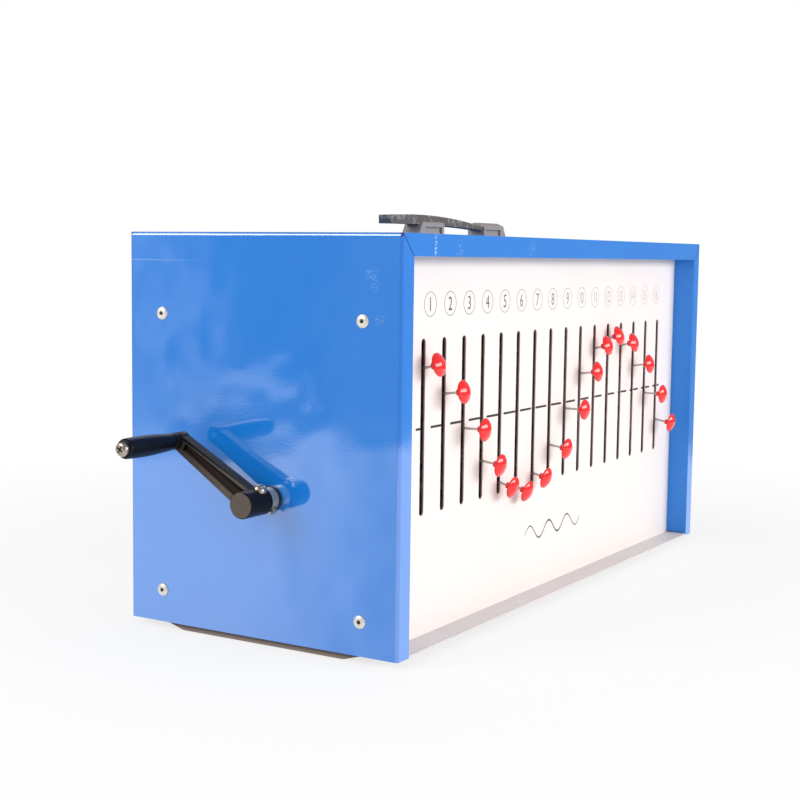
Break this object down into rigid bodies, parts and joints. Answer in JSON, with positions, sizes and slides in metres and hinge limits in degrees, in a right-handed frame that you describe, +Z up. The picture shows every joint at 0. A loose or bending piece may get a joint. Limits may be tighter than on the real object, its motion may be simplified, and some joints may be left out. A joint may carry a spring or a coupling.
{
  "type": "transverse wave demonstrator",
  "caption": "Hand-cranked transverse wave demonstrator: a blue sheet-metal box with a slotted white front, a row of red beads on wires, a side crank and a carry strap.",
  "frame": {"origin": "middle of the box's footprint, on the plane of the foot rails' undersides", "axes": "+X to the right along the row of slots, seen from the front; -Y is the front; +Z up"},
  "size_m": [0.5491, 0.199, 0.2619],
  "materials": {
    "cover_paint": "gloss",
    "panel_paint": "satin",
    "base_paint": "satin",
    "nickel": "gloss",
    "foot_rubber": "matte",
    "bush_plastic": "matte",
    "rail_alloy": "satin",
    "guide_steel": "satin",
    "handle_plastic": "matte",
    "shaft_steel": "satin",
    "crank_black": "gloss",
    "disc_plastic": "matte",
    "rod_steel": "satin",
    "bead_red": "gloss"
  },
  "bodies": {
    "housing": {"cover": "cover_paint", "base_plate": "base_paint", "front_panel": "panel_paint", "back_panel": "panel_paint", "side_rivets": "nickel", "foot_rails": "foot_rubber", "shaft_bearings": "bush_plastic", "guide_rails": "rail_alloy", "guide_rods": "guide_steel", "handle_brackets": "handle_plastic", "handle_strap": "handle_plastic"},
    "shaft": {"wave_shaft": "shaft_steel", "shaft_collar": "nickel", "crank_arm": "crank_black", "crank_screws": "nickel"},
    "grip": {"crank_grip": "crank_black"},
    "eccentric_01": {"disc_01": "disc_plastic"},
    "lifter_01": {"rod_01": "rod_steel", "rod_13": "rod_steel", "bead_01": "bead_red", "bead_13": "bead_red"},
    "eccentric_02": {"disc_02": "disc_plastic"},
    "lifter_02": {"rod_02": "rod_steel", "rod_14": "rod_steel", "bead_02": "bead_red", "bead_14": "bead_red"},
    "eccentric_03": {"disc_03": "disc_plastic"},
    "lifter_03": {"rod_03": "rod_steel", "rod_15": "rod_steel", "bead_03": "bead_red", "bead_15": "bead_red"},
    "eccentric_04": {"disc_04": "disc_plastic"},
    "lifter_04": {"rod_04": "rod_steel", "rod_16": "rod_steel", "bead_04": "bead_red", "bead_16": "bead_red"},
    "eccentric_05": {"disc_05": "disc_plastic"},
    "lifter_05": {"rod_05": "rod_steel", "bead_05": "bead_red"},
    "eccentric_06": {"disc_06": "disc_plastic"},
    "lifter_06": {"rod_06": "rod_steel", "bead_06": "bead_red"},
    "eccentric_07": {"disc_07": "disc_plastic"},
    "lifter_07": {"rod_07": "rod_steel", "bead_07": "bead_red"},
    "eccentric_08": {"disc_08": "disc_plastic"},
    "lifter_08": {"rod_08": "rod_steel", "bead_08": "bead_red"},
    "eccentric_09": {"disc_09": "disc_plastic"},
    "lifter_09": {"rod_09": "rod_steel", "bead_09": "bead_red"},
    "eccentric_10": {"disc_10": "disc_plastic"},
    "lifter_10": {"rod_10": "rod_steel", "bead_10": "bead_red"},
    "eccentric_11": {"disc_11": "disc_plastic"},
    "lifter_11": {"rod_11": "rod_steel", "bead_11": "bead_red"},
    "eccentric_12": {"disc_12": "disc_plastic"},
    "lifter_12": {"rod_12": "rod_steel", "bead_12": "bead_red"}
  },
  "joints": [
    {"name": "crank_spin", "type": "hinge", "parent": "housing", "child": "shaft", "pos_m": [0, -0.01, 0.09], "axis": [1, 0, 0], "continuous": true},
    {"name": "grip_spin", "type": "hinge", "parent": "shaft", "child": "grip", "pos_m": [-0.288, 0.044, 0.12245], "axis": [1, 0, 0], "continuous": true},
    {"name": "disc_turn_01", "type": "hinge", "parent": "shaft", "child": "eccentric_01", "pos_m": [-0.1847, -0.0217, 0.11027], "axis": [1, 0, 0], "continuous": true},
    {"name": "strap_turn_01", "type": "hinge", "parent": "eccentric_01", "child": "lifter_01", "pos_m": [-0.1847, -0.01, 0.13053], "axis": [1, 0, 0], "continuous": true},
    {"name": "disc_turn_02", "type": "hinge", "parent": "shaft", "child": "eccentric_02", "pos_m": [-0.1597, -0.03027, 0.1017], "axis": [1, 0, 0], "continuous": true},
    {"name": "strap_turn_02", "type": "hinge", "parent": "eccentric_02", "child": "lifter_02", "pos_m": [-0.1597, -0.01, 0.1134], "axis": [1, 0, 0], "continuous": true},
    {"name": "disc_turn_03", "type": "hinge", "parent": "shaft", "child": "eccentric_03", "pos_m": [-0.1347, -0.0334, 0.09], "axis": [1, 0, 0], "continuous": true},
    {"name": "strap_turn_03", "type": "hinge", "parent": "eccentric_03", "child": "lifter_03", "pos_m": [-0.1347, -0.01, 0.09], "axis": [1, 0, 0], "continuous": true},
    {"name": "disc_turn_04", "type": "hinge", "parent": "shaft", "child": "eccentric_04", "pos_m": [-0.1097, -0.03027, 0.0783], "axis": [1, 0, 0], "continuous": true},
    {"name": "strap_turn_04", "type": "hinge", "parent": "eccentric_04", "child": "lifter_04", "pos_m": [-0.1097, -0.01, 0.0666], "axis": [1, 0, 0], "continuous": true},
    {"name": "disc_turn_05", "type": "hinge", "parent": "shaft", "child": "eccentric_05", "pos_m": [-0.0847, -0.0217, 0.06974], "axis": [1, 0, 0], "continuous": true},
    {"name": "strap_turn_05", "type": "hinge", "parent": "eccentric_05", "child": "lifter_05", "pos_m": [-0.0847, -0.01, 0.04947], "axis": [1, 0, 0], "continuous": true},
    {"name": "disc_turn_06", "type": "hinge", "parent": "shaft", "child": "eccentric_06", "pos_m": [-0.0597, -0.01, 0.0666], "axis": [1, 0, 0], "continuous": true},
    {"name": "strap_turn_06", "type": "hinge", "parent": "eccentric_06", "child": "lifter_06", "pos_m": [-0.0597, -0.01, 0.0432], "axis": [1, 0, 0], "continuous": true},
    {"name": "disc_turn_07", "type": "hinge", "parent": "shaft", "child": "eccentric_07", "pos_m": [-0.0347, 0.0017, 0.06974], "axis": [1, 0, 0], "continuous": true},
    {"name": "strap_turn_07", "type": "hinge", "parent": "eccentric_07", "child": "lifter_07", "pos_m": [-0.0347, -0.01, 0.04947], "axis": [1, 0, 0], "continuous": true},
    {"name": "disc_turn_08", "type": "hinge", "parent": "shaft", "child": "eccentric_08", "pos_m": [-0.0097, 0.01026, 0.0783], "axis": [1, 0, 0], "continuous": true},
    {"name": "strap_turn_08", "type": "hinge", "parent": "eccentric_08", "child": "lifter_08", "pos_m": [-0.0097, -0.01, 0.0666], "axis": [1, 0, 0], "continuous": true},
    {"name": "disc_turn_09", "type": "hinge", "parent": "shaft", "child": "eccentric_09", "pos_m": [0.0153, 0.0134, 0.09], "axis": [1, 0, 0], "continuous": true},
    {"name": "strap_turn_09", "type": "hinge", "parent": "eccentric_09", "child": "lifter_09", "pos_m": [0.0153, -0.01, 0.09], "axis": [1, 0, 0], "continuous": true},
    {"name": "disc_turn_10", "type": "hinge", "parent": "shaft", "child": "eccentric_10", "pos_m": [0.0403, 0.01026, 0.1017], "axis": [1, 0, 0], "continuous": true},
    {"name": "strap_turn_10", "type": "hinge", "parent": "eccentric_10", "child": "lifter_10", "pos_m": [0.0403, -0.01, 0.1134], "axis": [1, 0, 0], "continuous": true},
    {"name": "disc_turn_11", "type": "hinge", "parent": "shaft", "child": "eccentric_11", "pos_m": [0.0653, 0.0017, 0.11027], "axis": [1, 0, 0], "continuous": true},
    {"name": "strap_turn_11", "type": "hinge", "parent": "eccentric_11", "child": "lifter_11", "pos_m": [0.0653, -0.01, 0.13053], "axis": [1, 0, 0], "continuous": true},
    {"name": "disc_turn_12", "type": "hinge", "parent": "shaft", "child": "eccentric_12", "pos_m": [0.0903, -0.01, 0.1134], "axis": [1, 0, 0], "continuous": true},
    {"name": "strap_turn_12", "type": "hinge", "parent": "eccentric_12", "child": "lifter_12", "pos_m": [0.0903, -0.01, 0.1368], "axis": [1, 0, 0], "continuous": true}
  ],
  "couplings": [
    {"joint": "disc_turn_01", "follows": "crank_spin", "ratio": -2},
    {"joint": "strap_turn_01", "follows": "crank_spin", "ratio": 1},
    {"joint": "disc_turn_02", "follows": "crank_spin", "ratio": -2},
    {"joint": "strap_turn_02", "follows": "crank_spin", "ratio": 1},
    {"joint": "disc_turn_03", "follows": "crank_spin", "ratio": -2},
    {"joint": "strap_turn_03", "follows": "crank_spin", "ratio": 1},
    {"joint": "disc_turn_04", "follows": "crank_spin", "ratio": -2},
    {"joint": "strap_turn_04", "follows": "crank_spin", "ratio": 1},
    {"joint": "disc_turn_05", "follows": "crank_spin", "ratio": -2},
    {"joint": "strap_turn_05", "follows": "crank_spin", "ratio": 1},
    {"joint": "disc_turn_06", "follows": "crank_spin", "ratio": -2},
    {"joint": "strap_turn_06", "follows": "crank_spin", "ratio": 1},
    {"joint": "disc_turn_07", "follows": "crank_spin", "ratio": -2},
    {"joint": "strap_turn_07", "follows": "crank_spin", "ratio": 1},
    {"joint": "disc_turn_08", "follows": "crank_spin", "ratio": -2},
    {"joint": "strap_turn_08", "follows": "crank_spin", "ratio": 1},
    {"joint": "disc_turn_09", "follows": "crank_spin", "ratio": -2},
    {"joint": "strap_turn_09", "follows": "crank_spin", "ratio": 1},
    {"joint": "disc_turn_10", "follows": "crank_spin", "ratio": -2},
    {"joint": "strap_turn_10", "follows": "crank_spin", "ratio": 1},
    {"joint": "disc_turn_11", "follows": "crank_spin", "ratio": -2},
    {"joint": "strap_turn_11", "follows": "crank_spin", "ratio": 1},
    {"joint": "disc_turn_12", "follows": "crank_spin", "ratio": -2},
    {"joint": "strap_turn_12", "follows": "crank_spin", "ratio": 1}
  ]
}
